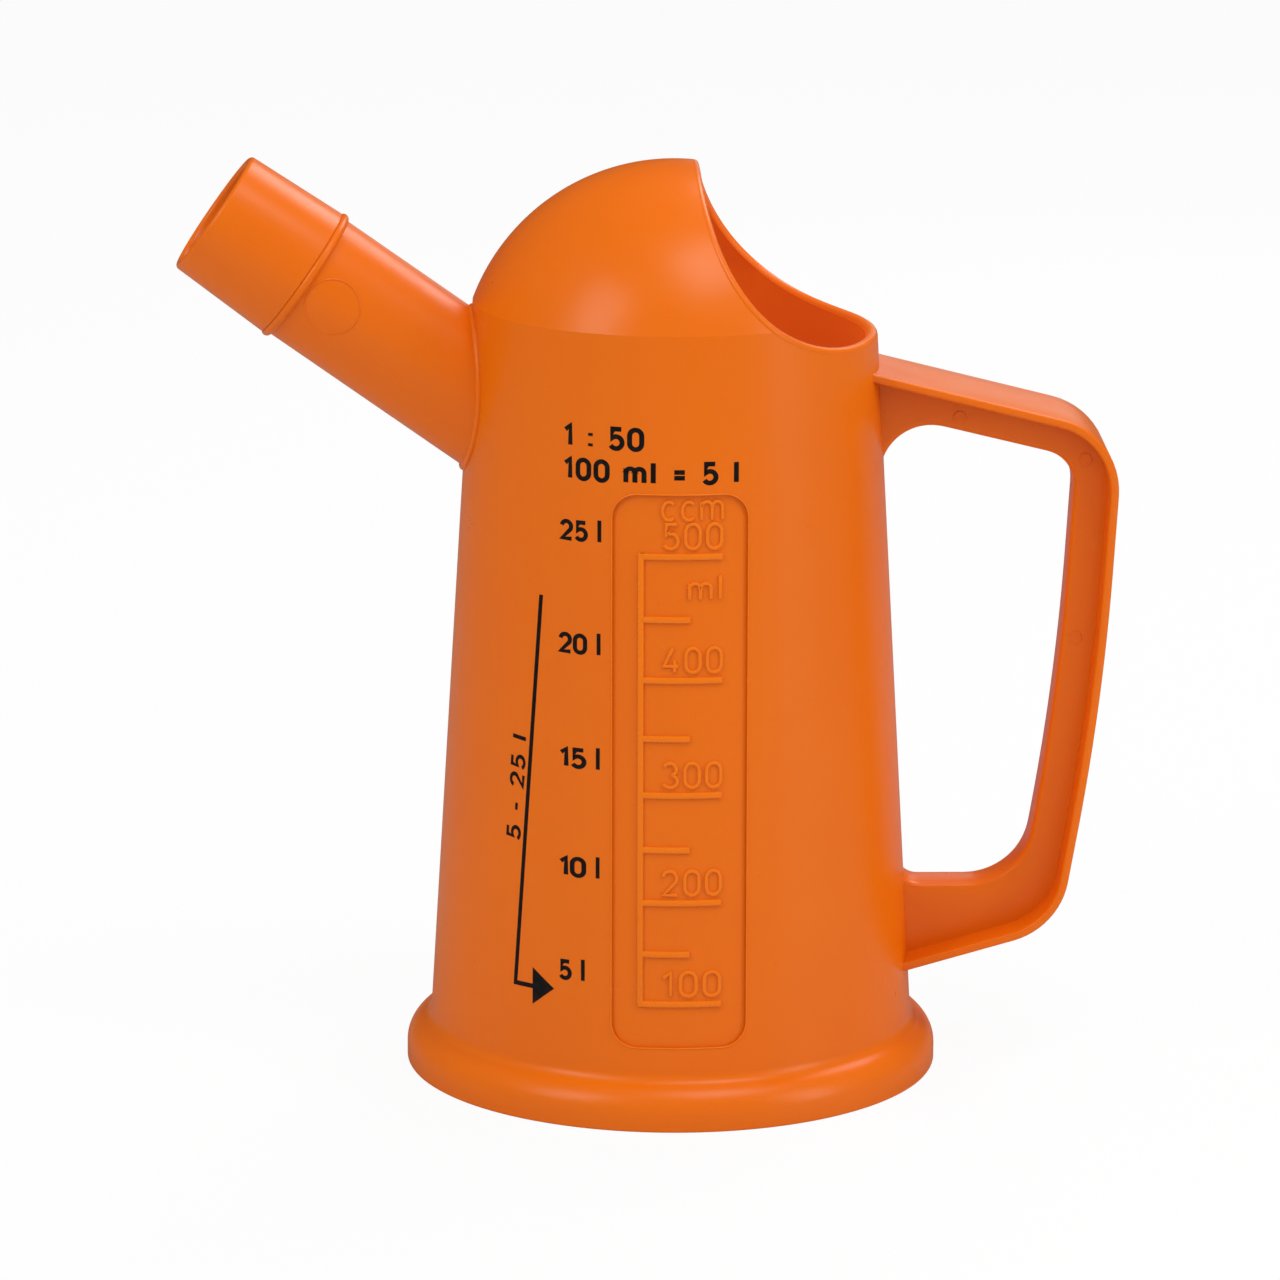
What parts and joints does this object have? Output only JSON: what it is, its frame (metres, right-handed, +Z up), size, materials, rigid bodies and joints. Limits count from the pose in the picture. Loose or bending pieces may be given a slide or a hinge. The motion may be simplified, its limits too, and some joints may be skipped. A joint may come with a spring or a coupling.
{
  "type": "measuring jug",
  "caption": "Orange plastic measuring jug for mixing fuel: conical cup with a domed hood, side mouth, slanted pouring spout, loop handle and graduated front panel",
  "frame": {"origin": "on the cup's axis, in the plane that the foot's rim stands on", "axes": "+Z up along the cup's axis, +X from the axis towards the handle, -X towards the spout, -Y out of the graduated panel"},
  "size_m": [0.1714, 0.0984, 0.1693],
  "materials": {
    "body": "semi-gloss",
    "base": "semi-gloss",
    "print": "matte"
  },
  "bodies": {
    "root": {"jug_body": "body", "base_disc": "base"}
  },
  "joints": []
}
